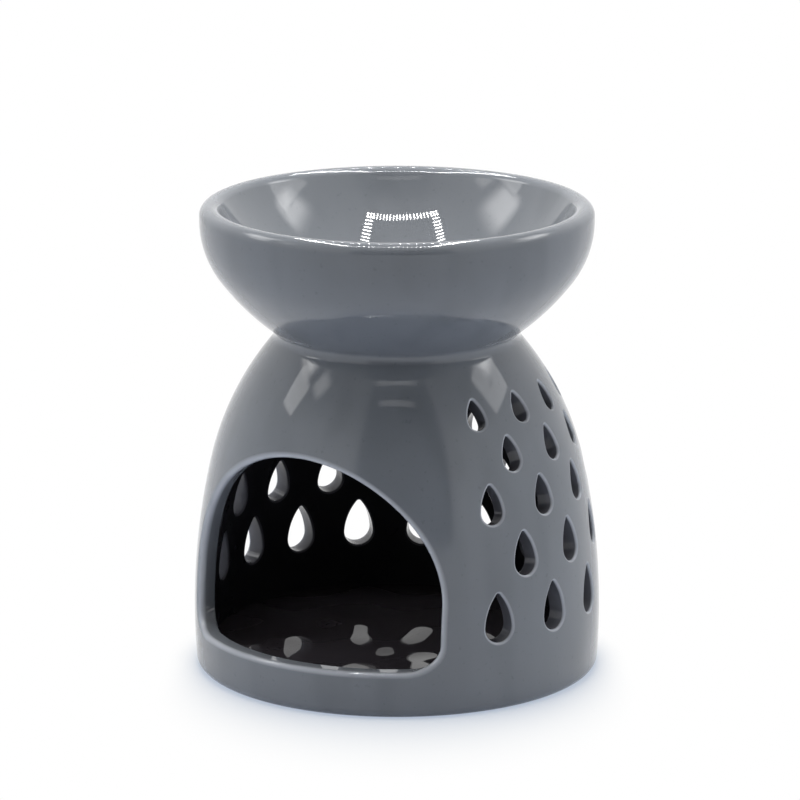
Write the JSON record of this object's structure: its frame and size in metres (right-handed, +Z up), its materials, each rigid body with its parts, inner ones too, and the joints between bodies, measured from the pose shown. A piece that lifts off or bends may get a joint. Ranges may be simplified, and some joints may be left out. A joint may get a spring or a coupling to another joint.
{
  "type": "essential oil burner",
  "caption": "Grey glazed ceramic oil burner: a round bowl for water and oil on a domed candle chamber with an arched opening and teardrop piercings.",
  "frame": {"origin": "middle of the underside, on the table", "axes": "+Z up along the axis of the bowl; the arch faces -Y"},
  "size_m": [0.1, 0.1, 0.1155],
  "materials": {
    "grey_glaze": "high gloss"
  },
  "bodies": {
    "root": {"chamber_base": "grey_glaze", "chamber_wall": "grey_glaze", "neck_joint": "grey_glaze", "oil_bowl": "grey_glaze"}
  },
  "joints": []
}
